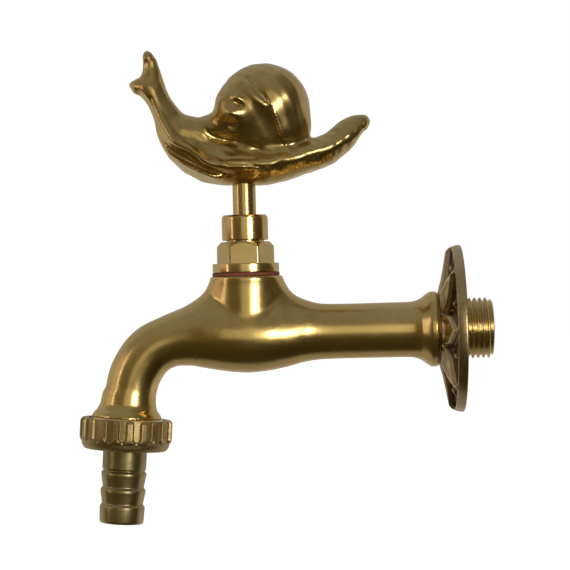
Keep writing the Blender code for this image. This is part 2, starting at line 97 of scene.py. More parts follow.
def smax(a, b, k):
    return -smin(-a, -b, k)


def smooth_value(a, b, c, d, t):
    """Catmull-Rom value between b and c."""
    return 0.5 * (2 * b + (c - a) * t + (2 * a - 5 * b + 4 * c - d) * t * t
                  + (3 * b - a - 3 * c + d) * t ** 3)


def refine(points, between):
    points = [np.array(p, float) for p in points]
    last = len(points) - 1
    fine = []
    for i in range(last):
        four = [points[max(0, min(last, i + j))] for j in (-1, 0, 1, 2)]
        fine += [smooth_value(*four, step / between) for step in range(between)]
    return np.array(fine + [points[-1]])


def oval_sweep(stations, between=6):
    """Field of a limb whose spine lies in the XZ plane: (x, z, half height, half width)."""
    s = refine(stations, between)

    def field(x, y, z):
        best = None
        for (x0, z0, a0, b0), (x1, z1, a1, b1) in zip(s, s[1:]):
            dx, dz = x1 - x0, z1 - z0
            t = np.clip(((x - x0) * dx + (z - z0) * dz) / (dx * dx + dz * dz), 0, 1)
            away = np.hypot(x - x0 - dx * t, z - z0 - dz * t)
            a, b = a0 + (a1 - a0) * t, b0 + (b1 - b0) * t
            if best is None:
                best, gap = [away, a, b], away - a
            else:
                near = away - a < gap
                best = [np.where(near, new, old) for new, old in zip((away, a, b), best)]
                gap = np.minimum(gap, away - a)
        away, a, b = best
        k0 = np.sqrt((away / a) ** 2 + (y / b) ** 2)
        k1 = np.sqrt((away / a ** 2) ** 2 + (y / b ** 2) ** 2) + 1e-6
        return k0 * (k0 - 1) / k1

    return field


def turned_field(points):
    """Field of a turned shape with (height, radius) points, from distance and height."""
    heights, radii = zip(*sorted(points))

    def field(r, h):
        slope = np.gradient(np.array(radii), np.array(heights))
        steep = np.interp(h, heights, slope)
        return (r - np.interp(h, heights, radii)) / np.sqrt(1 + steep ** 2)

    return field


def ellipsoid(x, y, z, centre, radii, tilt=0.0):
    """Ellipsoid field; tilt turns it about Y, in degrees."""
    c, s = math.cos(math.radians(tilt)), math.sin(math.radians(tilt))
    u, v, w = x - centre[0], y - centre[1], z - centre[2]
    u, w = c * u - s * w, s * u + c * w
    k0 = np.sqrt((u / radii[0]) ** 2 + (v / radii[1]) ** 2 + (w / radii[2]) ** 2)
    k1 = np.sqrt((u / radii[0] ** 2) ** 2 + (v / radii[1] ** 2) ** 2
                 + (w / radii[2] ** 2) ** 2) + 1e-6
    return k0 * (k0 - 1) / k1


def bead(x, y, z, points):
    """Chain of round cones through (x, y, z, radius) points."""
    found = None
    for p, q in zip(points, points[1:]):
        d = [q[i] - p[i] for i in range(3)]
        length = sum(v * v for v in d)
        t = np.clip(((x - p[0]) * d[0] + (y - p[1]) * d[1] + (z - p[2]) * d[2]) / length, 0, 1)
        away = np.sqrt((x - p[0] - d[0] * t) ** 2 + (y - p[1] - d[1] * t) ** 2
                       + (z - p[2] - d[2] * t) ** 2) - (p[3] + (q[3] - p[3]) * t)
        found = away if found is None else np.minimum(found, away)
    return found


# ------------------------------------------------------------------- meshing

def sample(field, axes, step):
    """The field on a grid, worked out only in the blocks that its surface may cross."""
    nx, ny, nz = (len(a) for a in axes)
    grid = np.empty((nx, ny, nz), np.float32)
    size = 20
    reach = size * step * math.sqrt(3) / 2 * 1.6
    for i in range(0, nx, size):
        for j in range(0, ny, size):
            for k in range(0, nz, size):
                part = (slice(i, i + size), slice(j, j + size), slice(k, k + size))
                x, y, z = axes[0][part[0]], axes[1][part[1]], axes[2][part[2]]
                mid = field(np.array([x.mean()]), np.array([y.mean()]), np.array([z.mean()]))[0]
                if abs(mid) > reach:
                    grid[part] = mid
                else:
                    grid[part] = field(x[:, None, None], y[None, :, None], z[None, None, :])
    return grid


def surface_net(field, low, high, step, soften):
    """Points and quads of the field's zero surface, then soften rounds of smoothing."""
    axes = [np.arange(a - 2 * step, b + 3 * step, step) for a, b in zip(low, high)]
    grid = sample(field, axes, step)
    inside = grid < 0
    cells = tuple(n - 1 for n in grid.shape)
    total = np.zeros(cells + (3,), np.float32)
    count = np.zeros(cells, np.float32)
    corners = [(a, b, c) for a in (0, 1) for b in (0, 1) for c in (0, 1)]

    def corner(array, shift):
        return array[tuple(slice(s, s + n) for s, n in zip(shift, cells))]

    for first in corners:
        for axis in range(3):
            if first[axis]:
                continue
            second = tuple(v + (i == axis) for i, v in enumerate(first))
            va, vb = corner(grid, first), corner(grid, second)
            crossed = corner(inside, first) != corner(inside, second)
            share = np.where(crossed, va / np.where(crossed, va - vb, 1), 0)
            for i in range(3):
                place = share if i == axis else first[i]
                total[..., i] += np.where(crossed, place, 0)
            count += crossed
    used = count > 0
    index = np.full(cells, -1, np.int64)
    index[used] = np.arange(used.sum())
    where = np.argwhere(used)
    points = where + total[used] / count[used][:, None]
    points = points * step + np.array([a[0] for a in axes])

    quads = []
    for axis in range(3):
        u, v = (axis + 1) % 3, (axis + 2) % 3
        lower = [slice(1, n) for n in cells]
        lower[axis] = slice(0, cells[axis])
        upper = list(lower)
        upper[axis] = slice(1, cells[axis] + 1)
        a, b = inside[tuple(lower)], inside[tuple(upper)]
        for leaving in (True, False):
            at = np.argwhere((a != b) & (a == leaving))
            at[:, u] += 1
            at[:, v] += 1
            ring = []
            for du, dv in ((1, 1), (0, 1), (0, 0), (1, 0)):
                cell = at.copy()
                cell[:, u] -= du
                cell[:, v] -= dv
                ring.append(index[tuple(cell.T)])
            quad = np.stack(ring, 1)
            quads.append(quad if leaving else quad[:, ::-1])
    quads = np.concatenate(quads)

    edges = np.concatenate([quads[:, [0, 1]], quads[:, [1, 2]], quads[:, [2, 3]], quads[:, [3, 0]]])
    for share in (0.5, 0.5, 0.4):
        points = pulled(field, relaxed(points, edges, share), step)
    for _ in range(soften):
        points = relaxed(points, edges, 0.4)
    return points, quads


def relaxed(points, edges, share):
    """Moves each point a share of the way to the middle of its neighbours."""
    near = np.zeros_like(points)
    weight = np.zeros(len(points))
    np.add.at(near, edges[:, 0], points[edges[:, 1]])
    np.add.at(near, edges[:, 1], points[edges[:, 0]])
    np.add.at(weight, edges[:, 0], 1)
    np.add.at(weight, edges[:, 1], 1)
    return points + (near / weight[:, None] - points) * share


def pulled(field, points, step):
    """One Newton step onto the zero surface."""
    x, y, z = points.T
    value = field(x, y, z)
    e = step * 0.1
    slope = np.stack([field(x + e, y, z) - field(x - e, y, z),
                      field(x, y + e, z) - field(x, y - e, z),
                      field(x, y, z + e) - field(x, y, z - e)], 1) / (2 * e)
    size = (slope ** 2).sum(1) + 1e-6
    move = -slope * (value / size)[:, None]
    length = np.linalg.norm(move, axis=1) + 1e-9
    return points + move * np.minimum(1, step * 0.6 / length)[:, None]


def mesh_piece(name, points, faces, sharp=None):
    """A smooth-shaded object from points in millimetres."""
    mesh = bpy.data.meshes.new(name)
    faces = np.asarray(faces)
    corners = faces.shape[1]
    mesh.vertices.add(len(points))
    mesh.vertices.foreach_set("co", (np.asarray(points) * MM).astype(np.float32).ravel())
    mesh.loops.add(faces.size)
    mesh.loops.foreach_set("vertex_index", faces.ravel().astype(np.int32))
    mesh.polygons.add(len(faces))
    mesh.polygons.foreach_set("loop_start", np.arange(0, faces.size, corners, dtype=np.int32))
    mesh.update(calc_edges=True)
    mesh.validate()
    mesh.shade_smooth()
    if sharp is not None:
        mesh.set_sharp_from_angle(angle=math.radians(sharp))
    obj = bpy.data.objects.new(name, mesh)
    bpy.context.scene.collection.objects.link(obj)
    return obj


def casting(name, field, low, high, step, soften=1, worn=None):
    """A casting on a grid of the given step, smoothed soften times.

    worn(x, y, z) is 1 where handling keeps it bright and 0 in deep places.
    """
    points, quads = surface_net(field, low, high, step, soften)
    made = mesh_piece(name, points, quads)
    if worn is not None:
        share = made.data.attributes.new("worn", 'FLOAT', 'POINT')
        share.data.foreach_set("value", worn(*points.T).astype(np.float32))
    return made


def rounded(corners, segments=4):
    """A closed profile from (radius, height, fillet) corners, with arcs at the fillets."""
    out = []
    count = len(corners)
    for i, (r, h, fillet) in enumerate(corners):
        p = np.array([r, h], float)
        before = np.array(corners[i - 1][:2], float) - p
        after = np.array(corners[(i + 1) % count][:2], float) - p
        if fillet <= 0:
            out.append(p)
            continue
        lb, la = np.linalg.norm(before), np.linalg.norm(after)
        before, after = before / lb, after / la
        half = math.acos(max(-1, min(1, float(before @ after)))) / 2
        cut = min(fillet / max(math.tan(half), 1e-3), 0.48 * lb, 0.48 * la)
        start, end = p + before * cut, p + after * cut
        for s in range(segments + 1):
            t = s / segments
            out.append((1 - t) ** 2 * start + 2 * t * (1 - t) * p + t * t * end)
    return np.array(out)


def lathe(name, profile, steps=144, shape=None, sharp=40, place=Matrix.Identity(4)):
    """A closed profile turned about Z; shape(angle, r, h) may change the radius."""
    angle = np.arange(steps) * 2 * math.pi / steps
    r = np.repeat(profile[None, :, 0], steps, 0)
    h = np.repeat(profile[None, :, 1], steps, 0)
    if shape is not None:
        r = shape(angle[:, None], r, h)
    points = np.stack([r * np.cos(angle)[:, None], r * np.sin(angle)[:, None], h], -1)
    count = len(profile)
    ids = np.arange(steps * count).reshape(steps, count)
    right, up = np.roll(ids, -1, 0), np.roll(ids, -1, 1)
    both = np.roll(right, -1, 1)
    quads = np.stack([ids, right, both, up], -1).reshape(-1, 4)
    area = profile[:, 0] * np.roll(profile[:, 1], -1) - np.roll(profile[:, 0], -1) * profile[:, 1]
    if area.sum() < 0:
        quads = quads[:, ::-1]
    turn = np.array(place.to_3x3())
    points = points.reshape(-1, 3) @ turn.T + np.array(place.translation)
    return mesh_piece(name, points, quads, sharp)


def dense(profile, start, end, step):
    """Extra points on a profile's straight runs between two heights."""
    out = []
    for p, q in zip(profile, np.roll(profile, -1, 0)):
        out.append(p)
        if start <= min(p[1], q[1]) and max(p[1], q[1]) <= end:
            count = int(abs(q[1] - p[1]) / step)
            out += [p + (q - p) * i / count for i in range(1, count)]
    return np.array(out)


AT_VALVE = Matrix.Translation((VALVE_X, 0, 0))
AT_OUTLET = Matrix.Translation((OUTLET_X, 0, OUTLET_Z)) @ Matrix.Rotation(OUTLET_LEAN, 4, 'Y')
ALONG_X = Matrix.Rotation(math.pi / 2, 4, 'Y')


def thread_shape(start, end, depth):
    """Cuts a rounded V thread into the outer radius between two heights."""
    def shape(angle, r, h):
        phase = (h / PITCH - angle / (2 * math.pi)) % 1
        valley = np.abs(phase - 0.5) * 2
        cut = depth * ease((0.94 - valley) / 0.88)
        window = np.clip((h - start) / (0.6 * PITCH), 0, 1) * (h <= end + 1e-6)
        outer = r > r.max() - 0.9
        return np.where(outer, r - cut * window, r)
    return shape


# ------------------------------------------------------------------ materials

class Nodes:
    """A few short-hands for building a node material."""

    def __init__(self, name):
        self.material = bpy.data.materials.new(name)
        self.material.use_nodes = True
        self.tree = self.material.node_tree
        self.bsdf = self.tree.nodes["Principled BSDF"]
        self.place = self.node('ShaderNodeTexCoord').outputs["Object"]

    def node(self, kind, **values):
        made = self.tree.nodes.new(kind)
        for key, value in values.items():
            setattr(made, key, value)
        return made

    def link(self, source, target):
        self.tree.links.new(source, target)

    def noise(self, scale, detail=3.0, rough=0.55, stretch=(1, 1, 1)):
        mapping = self.node('ShaderNodeMapping')
        mapping.inputs["Scale"].default_value = stretch
        self.link(self.place, mapping.inputs["Vector"])
        noise = self.node('ShaderNodeTexNoise')
        noise.inputs["Scale"].default_value = scale
        noise.inputs["Detail"].default_value = detail
        noise.inputs["Roughness"].default_value = rough
        self.link(mapping.outputs["Vector"], noise.inputs["Vector"])
        return noise.outputs["Fac"]

    def ramp(self, source, *stops):
        ramp = self.node('ShaderNodeValToRGB')
        elements = ramp.color_ramp.elements
        while len(elements) < len(stops):
            elements.new(0.5)
        for element, (place, colour) in zip(elements, stops):
            element.position = place
            element.color = (*colour, 1) if isinstance(colour, tuple) else (colour,) * 3 + (1,)
        self.link(source, ramp.inputs["Fac"])
        return ramp.outputs["Color"]

    def mix(self, share, a, b, blend='MIX'):
        mix = self.node('ShaderNodeMix', data_type='RGBA', blend_type=blend)
        sockets = mix.inputs["Factor"], mix.inputs[6], mix.inputs[7]
        for value, socket in zip((share, a, b), sockets):
            if isinstance(value, tuple):
                socket.default_value = (*value, 1)
            elif isinstance(value, float):
                socket.default_value = value
            else:
                self.link(value, socket)
        return mix.outputs[2]

    def math(self, operation, a, b=0.0, clamp=False):
        made = self.node('ShaderNodeMath', operation=operation, use_clamp=clamp)
        for value, socket in ((a, made.inputs[0]), (b, made.inputs[1])):
            if isinstance(value, float):
                socket.default_value = value
            else:
                self.link(value, socket)
        return made.outputs["Value"]

    def hollows(self):
        """1 on raised edges, 0 in hollows."""
        point = self.node('ShaderNodeNewGeometry').outputs["Pointiness"]
        return self.ramp(point, (0.46, 0.0), (0.54, 1.0))

    def bump(self, *layers):
        """Bump nodes in a row, from (height, distance in metres, strength) layers."""
        normal = None
        for height, distance, strength in layers:
            bump = self.node('ShaderNodeBump')
            bump.inputs["Distance"].default_value = distance
            bump.inputs["Strength"].default_value = strength
            self.link(height, bump.inputs["Height"])
            if normal is not None:
                self.link(normal, bump.inputs["Normal"])
            normal = bump.outputs["Normal"]
        self.link(normal, self.bsdf.inputs["Normal"])


def brass(name, colour, dull, rough, grain, tarnish, hollow_shade=0.0, lines=None, deep=None,
          waves=0.35):
    """Brass: tint varies, hollows get painted shade, a fine grain breaks up the reflections.

    rough is (lowest, highest) roughness; grain is (noise scale, height in metres);
    lines is (stretch, scale, height) for turning or brushing marks; deep is the
    colour of places where the mesh's "worn" value is 0; waves is the strength of the
    slow unevenness of a hand-polished casting.
    """
    n = Nodes(name)
    cloud = n.noise(55, 4.0, 0.6)
    base = n.mix(n.ramp(cloud, (0.35, 0.0), (0.7, 1.0)), colour, dull)
    spots = n.ramp(n.noise(420, 2.0, 0.5), (0.58, 0.0), (0.75, tarnish))
    base = n.mix(spots, base, tuple(0.55 * c for c in dull))
    # Painted shade: pointiness darkens the hollows towards a dark brass.
    if hollow_shade:
        edge = n.hollows()
        base = n.mix(n.math('MULTIPLY', n.math('SUBTRACT', 1.0, edge), hollow_shade), base,
                     tuple(0.28 * c for c in dull))
    if deep:
        worn = n.node('ShaderNodeAttribute', attribute_name="worn").outputs["Fac"]
        patchy = n.math('ADD', worn, n.math('MULTIPLY', n.noise(330, 4.0), 0.5))
        base = n.mix(n.ramp(patchy, (0.42, 0.0), (0.95, 1.0)), deep, base)
    n.link(base, n.bsdf.inputs["Base Color"])
    n.bsdf.inputs["Metallic"].default_value = 1.0
    wear = n.noise(160, 5.0, 0.65)
    n.link(n.ramp(wear, (0.3, rough[0]), (0.7, rough[1])), n.bsdf.inputs["Roughness"])
    layers = [(n.noise(grain[0], 3.0, 0.6), grain[1], 0.8)]
    if waves:
        layers.append((n.noise(95, 2.0, 0.5), 0.00012, waves))
    if lines:
        stretch, scale, height = lines
        layers.append((n.noise(scale, 2.0, 0.5, stretch), height, 0.6))
    n.bump(*layers)
    return n.material


def plain(name, colour, other, rough, grain):
    """Fibre, rubber and packing: matt, mottled, slightly grainy."""
    n = Nodes(name)
    n.link(n.mix(n.ramp(n.noise(300, 4.0), (0.35, 0.0), (0.65, 1.0)), colour, other),
           n.bsdf.inputs["Base Color"])
    n.link(n.ramp(n.noise(700, 3.0), (0.3, rough - 0.08), (0.7, rough + 0.08)),
           n.bsdf.inputs["Roughness"])
    n.bump((n.noise(grain, 3.0), 0.00008, 0.6))
    return n.material


def make_materials():
    return {
        "body": brass("body_brass", (0.74, 0.545, 0.205), (0.66, 0.475, 0.165), (0.20, 0.275),
                      (2600, 0.000007), 0.2, waves=0.2),
        "handle": brass("handle_brass", (0.74, 0.545, 0.215), (0.62, 0.44, 0.16), (0.21, 0.31),
                        (1500, 0.000003), 0.45, 0.2, waves=0.2),
        "machined": brass("machined_brass", (0.82, 0.62, 0.26), (0.74, 0.53, 0.20),
                          (0.15, 0.23), (2600, 0.000006), 0.15, 0.3,
                          ((0.2, 0.2, 6.0), 900, 0.00002), waves=0.0),
        "cast": brass("cast_brass", (0.72, 0.53, 0.24), (0.52, 0.37, 0.16), (0.36, 0.48),
                      (1500, 0.00009), 0.4, 0.7),
        "antique": brass("antique_brass", (0.68, 0.52, 0.28), (0.52, 0.385, 0.21), (0.24, 0.38),
                         (1100, 0.00006), 0.5, 0.35, deep=(0.15, 0.09, 0.055)),
        "tail": brass("dull_brass", (0.54, 0.44, 0.21), (0.44, 0.35, 0.15), (0.28, 0.38),
                      (2600, 0.00002), 0.3, 0.4),
        # The thread's brass is paler than the turned brass: part of its colour is a painted sheen
        # for the bright reflections along the cut thread.
        "thread": brass("thread_brass_painted_sheen", (0.97, 0.80, 0.45), (0.88, 0.70, 0.35), (0.20, 0.27),
                        (2600, 0.000003), 0.05, 0.4, waves=0.0),
        "fibre": plain("red_fibre", (0.20, 0.040, 0.012), (0.13, 0.028, 0.010), 0.66, 900),
        "rubber": plain("black_rubber", (0.02, 0.02, 0.02), (0.035, 0.034, 0.033), 0.7, 1500),
        "packing": plain("graphite_packing", (0.05, 0.05, 0.052), (0.09, 0.09, 0.09), 0.5, 1800),
        "steel": brass("screw_steel", (0.52, 0.51, 0.49), (0.40, 0.39, 0.37), (0.25, 0.38),
                       (2000, 0.00002), 0.2),
    }


def dress(obj, material, body, slot, *nodes):
    """Gives a piece its material and its body, and hides the CAD nodes it stands for; slot is not
    used.
    """
    obj.data.materials.clear()
    obj.data.materials.append(material)
    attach(obj, body)
    if nodes:
        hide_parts(*nodes)


# ------------------------------------------------------------------- tap body

NECK = [(-3, 0, TUBE_R, TUBE_R), (-21, 0, TUBE_R, TUBE_R), (-46, 0, TUBE_R, TUBE_R),
        (-55.8, 0.2, 10.6, 10.6), (-62.8, -0.5, 11.6, 11.8), (-68.8, -0.8, 12.4, 12.8),
        (-74.8, -0.9, 12.7, 13.2), (-81.8, -0.5, 12.3, 12.8), (-87.8, -0.2, 11.5, 11.8),
        (-93.3, -0.5, 10.3, 10.6), (-101.0, -2.1, 9.0, 9.6), (-107.9, -5.6, 8.95, 9.2),
        (-112.8, -12.2, 8.95, 9.1), (-114.9, -19.0, 8.85, 9.0), (-115.4, -24.5, 8.85, 9.0)]


def body_field():
    limb = oval_sweep(NECK)
    flare_z, flare_x, flare_y = refine([
        (-4, 10.0, 8.0), (5, 15.4, 9.0), (10.5, 16.4, 9.3), (13.0, 15.6, 9.4), (15.3, 14.3, 9.6),
        (17.2, 13.2, 10.0), (18.8, 12.2, 10.6), (BOSS_TOP_Z + 2, 11.2, 10.8)], 5).T
    collar = turned_field([(6.8, COLLAR_R), (10.9, COLLAR_R), (12.4, 12.0), (14.3, 10.6),
                           (17.4, TUBE_R - 0.3), (22.8, 8.0)])
    flare = turned_field([(-12.0, 12.2), (-6.6, 12.2), (-5.2, 11.6), (-3.9, 10.4),
                          (-2.0, 9.45), (1.5, 8.8), (4, 8.0)])
    cl, sl = math.cos(OUTLET_LEAN), math.sin(OUTLET_LEAN)

    def field(x, y, z):
        f = limb(x, y, z)
        across = np.hypot(x - VALVE_X, y)
        wide, deep = np.interp(z, flare_z, flare_x), np.interp(z, flare_z, flare_y)
        web = (np.hypot((x - VALVE_X - 0.25) / wide, y / deep) - 1) * deep * 0.93
        top = smax(smin(across - BOSS_R, web, 2.4), z - BOSS_TOP_Z, 0.7)
        fillet = 1.5 + 3.0 * ease((np.abs(x - VALVE_X) - 7) / 6)
        f = smin(f, smax(top, -6 - z, 2.0), fillet)
        ring = np.hypot(y, z)
        f = smin(f, smax(smax(collar(ring, -x), x - COLLAR_FACE_X, 0.7), -22 - x, 1.0), 0.8)
        u, w = x - OUTLET_X, z - OUTLET_Z
        along, off = u * sl + w * cl, u * cl - w * sl
        lip = smax(flare(np.hypot(off, y), along), NUT_TOP - along, 0.6)
        f = smin(f, smax(lip, along - 3, 1.0), 1.2)
        f = smax(f, x - COLLAR_FACE_X, 0.5)
        far_from_outlet, below_seat = off > 40, z < 4   # these two cuts stop there
        f = smax(f, NUT_TOP - along - 60 * far_from_outlet, 0.4)
        f = smax(f, CHAMBER_R - across - 99 * below_seat, 0.4)
        f = smax(f, np.minimum(INLET_BORE_R - ring, x + 45), 0.3)
        return smax(f, np.minimum(SPOUT_BORE_R - np.hypot(off, y), 4 - along), 0.3)

    return field


def make_body(mats):
    shell = casting("tap_casting", body_field(), (-134, -18, -31), (-8, 18, 20.5), 0.55, 2)
    dress(shell, mats["body"], "tap", "body_brass", "tap_body")

    bore, crest, root = INLET_BORE_R, INLET_CREST_R, INLET_ROOT_R
    profile = rounded([(bore, INLET_END_X, 0.3), (9.25, INLET_END_X, 0.3),
                       (crest, INLET_END_X - 1.3, 0), (crest, -3.0, 0), (root, -4.2, 0.3),
                       (root, COLLAR_FACE_X - 0.2, 0), (bore, COLLAR_FACE_X - 0.2, 0)])
    profile = dense(profile, -3.1, INLET_END_X, PITCH / 20)
    inlet = lathe("inlet_tail", profile, 216, thread_shape(-2.6, INLET_END_X, crest - root),
                  60, ALONG_X)
    dress(inlet, mats["thread"], "tap", "body_brass", "tap_body")

    bore, crest, root = OUTLET_BORE_R, OUTLET_CREST_R, 12.1
    profile = rounded([(bore, -11.0, 0.3), (root, -11.0, 0.3), (crest, -10.0, 0),
                       (crest, -7.4, 0), (root, -6.7, 0), (bore, -6.7, 0)])
    profile = dense(profile, -10.1, -7.3, PITCH / 14)
    outlet = lathe("outlet_thread", profile, 160, thread_shape(-10.2, -7.3, 1.0), 35, AT_OUTLET)
    dress(outlet, mats["thread"], "tap", "body_brass", "tap_body")


# --------------------------------------------------------------------- snail

SNAIL_X = 0.4                                # of the casting against the spindle
SCREW_Z, SCREW_HOLE_R = 58.2, 2.35
CORE = [(41.1, 72.5, 1.9, 1.8), (37.0, 69.5, 4.5, 4.6), (31.4, 64.7, 5.0, 6.6),
        (25.0, 61.2, 5.7, 8.3), (15, 59.0, 6.5, 9.6), (5, 58.0, 7.2, 9.8), (-5, 58.9, 7.9, 8.9),
        (-13, 61.6, 9.4, 7.4), (-20, 66.4, 8.6, 6.2), (-24.5, 72.3, 5.7, 5.0),
        (-27.8, 78.8, 4.1, 4.0), (-30.6, 84.4, 4.0, 4.0), (-31.6, 88.0, 3.4, 3.3)]
SKIRT = [(-32.6, 84.6, 1.9, 3.8), (-31.0, 81.2, 2.1, 4.5), (-29.0, 76.8, 2.3, 5.4),
         (-26.9, 72.2, 2.4, 6.6), (-25.2, 68.8, 2.5, 7.8), (-23.6, 66.6, 2.5, 8.8),
         (-21.6, 65.2, 2.4, 9.4), (-19.0, 64.0, 2.3, 10.1), (-16.4, 62.2, 2.3, 10.7),
         (-13.4, 59.7, 2.6, 11.2), (-10.0, 58.2, 3.3, 11.5), (-5.0, 57.7, 3.9, 11.7),
         (0.0, 57.7, 4.0, 11.8), (5.0, 57.5, 3.7, 11.7), (9.0, 57.7, 3.0, 11.4),
         (12.6, 58.8, 2.5, 11.1), (16.8, 59.0, 2.2, 10.7), (20.4, 60.0, 2.1, 10.2),
         (24.4, 61.5, 2.0, 9.4), (29.3, 62.5, 1.9, 8.2), (32.7, 64.1, 1.8, 7.2),
         (36.1, 66.2, 1.8, 5.9), (39.3, 68.6, 1.7, 4.4), (41.1, 71.0, 1.3, 2.6)]
SOLE = [(-27.2, 64.0, 1.8, 4.6), (-24.8, 60.6, 2.2, 7.2), (-20.6, 57.8, 2.4, 9.0),
        (-15.6, 55.2, 2.4, 10.0), (-10.6, 54.2, 2.3, 9.6), (-6.0, 54.8, 1.9, 8.0)]
KEEL = [(-31, 70, 0.2), (-28.4, 65.2, 0.22), (-26.0, 60.9, 0.26), (-20.8, 55.9, 0.3),
        (-15.4, 52.9, 0.28), (-10.0, 51.4, 0.2), (-4.6, 50.7, 0.08), (7.6, 50.5, 0.08),
        (12.4, 51.6, 0.10), (18.4, 53.6, 0.10), (24.1, 55.5, 0.10), (30.4, 57.5, 0.10),
        (33.5, 59.5, 0.10), (36.6, 61.9, 0.10),
        (41.4, 69.0, 0.1)]                   # lowest line: x, z, slope of its sides

# Lines on the snail's sides, seen square on, as (x, z)
FLAP = [(-16.3, 73.9), (-13.9, 71.6), (-10.6, 68.9), (-7.1, 67.5), (-4.6, 67.9)]
MANTLE = [(-16.0, 70.6), (-11.1, 66.2), (-5.3, 64.1), (1.9, 63.8), (4.0, 65.9), (7.0, 63.4),
          (16.7, 62.7), (22.9, 65.0)]
FOLD_HIGH = [(-7.6, 59.7), (-2.0, 59.9), (3.4, 59.6)]
FOLD_LOW = [(-5.4, 58.1), (1.0, 57.9), (8.6, 56.2)]
STRAP = [(-0.2, 86.0), (2.4, 82.6), (4.8, 80.0), (7.0, 78.0)]
GROOVE = [(1.8, 87.2), (5.2, 82.4), (8.0, 79.2)]
LIP = [(9.4, 77.4), (10.6, 73.9), (12.8, 67.6)]
KNOBS = ((-1.9, 80.6, 2.0, 1.1, 1.1), (-4.2, 75.2, 2.7, 1.9, 1.5))


def from_line(x, z, points):
    """Distance to a line in the XZ plane, and on which side (plus is its left)."""
    away, side = None, None
    for (x0, z0), (x1, z1) in zip(points, points[1:]):
        dx, dz = x1 - x0, z1 - z0
        t = np.clip(((x - x0) * dx + (z - z0) * dz) / (dx * dx + dz * dz), 0, 1)
        new = np.hypot(x - x0 - dx * t, z - z0 - dz * t)
        turn = np.sign(dx * (z - z0) - dz * (x - x0))
        if away is None:
            away, side = new, turn
        else:
            side = np.where(new < away, turn, side)
            away = np.minimum(away, new)
    return away, side


def bell(value, width):
    return np.exp(-(value / width) ** 2)


def ease(value):
    """0 below 0, 1 above 1, smooth between."""
    value = np.clip(value, 0, 1)
    return value * value * (3 - 2 * value)


def snail_relief(x, z):
    """Height of the worked detail on the snail's sides."""
    height = 0.55 * bell(from_line(x, z, STRAP)[0], 1.7)
    height = height - 0.55 * bell(from_line(x, z, GROOVE)[0], 1.1)
    away, side = from_line(x, z, LIP)
    aperture = bell(np.hypot((x - 7.4) / 6.4, (z - 70.4) / 7.4), 1.0)
    behind = ease(0.5 - away * side / 1.1)
    height = height - 2.0 * aperture * behind + 0.35 * bell(away, 1.1) * ease((78 - z) / 4)
    for cx, cz, along, across, lift in KNOBS:
        u = ((x - cx) * 0.80 - (z - cz) * 0.60) / along
        w = ((x - cx) * 0.60 + (z - cz) * 0.80) / across
        height = height + lift * bell(np.hypot(u, w), 1.0)
        height = height - 0.9 * lift * bell(np.hypot(u - 0.9, w + 1.3), 0.9)
    away, side = from_line(x, z, FLAP)
    height = height + 0.25 * bell(away * side - 0.9, 1.4) - 0.3 * bell(away * side + 1.1, 1.6)
    height = height + 0.26 * bell(from_line(x, z, MANTLE)[0], 1.1)
    height = height - 0.45 * bell(from_line(x, z, FOLD_HIGH)[0], 0.5)
    return height - 0.45 * bell(from_line(x, z, FOLD_LOW)[0], 0.5)


def head_field(x, y, z):
    """Two feelers; the upper one ends in an eye over a hollow."""
    upper = bead(x, y, z, [(-31.4, 0.0, 87.0, 3.5), (-31.4, -0.3, 91.0, 3.0),
                           (-31.9, -0.6, 94.2, 2.5), (-32.5, -0.8, 96.2, 1.95),
                           (-32.8, -0.8, 97.1, 1.3)])
    lower = bead(x, y, z, [(-32.9, 0.0, 85.7, 4.1), (-35.8, 0.2, 86.1, 2.9),
                           (-37.5, 0.3, 86.6, 1.7), (-39.3, 0.3, 87.1, 0.4)])
    f = smin(upper, lower, 1.6)
    f = smin(f, ellipsoid(x, y, z, (-32.9, -2.0, 95.9), (1.3, 1.0, 1.4)), 0.9)
    return smax(f, -ellipsoid(x, y, z, (-33.5, -4.3, 93.0), (1.0, 1.9, 1.9), 12), 0.9)


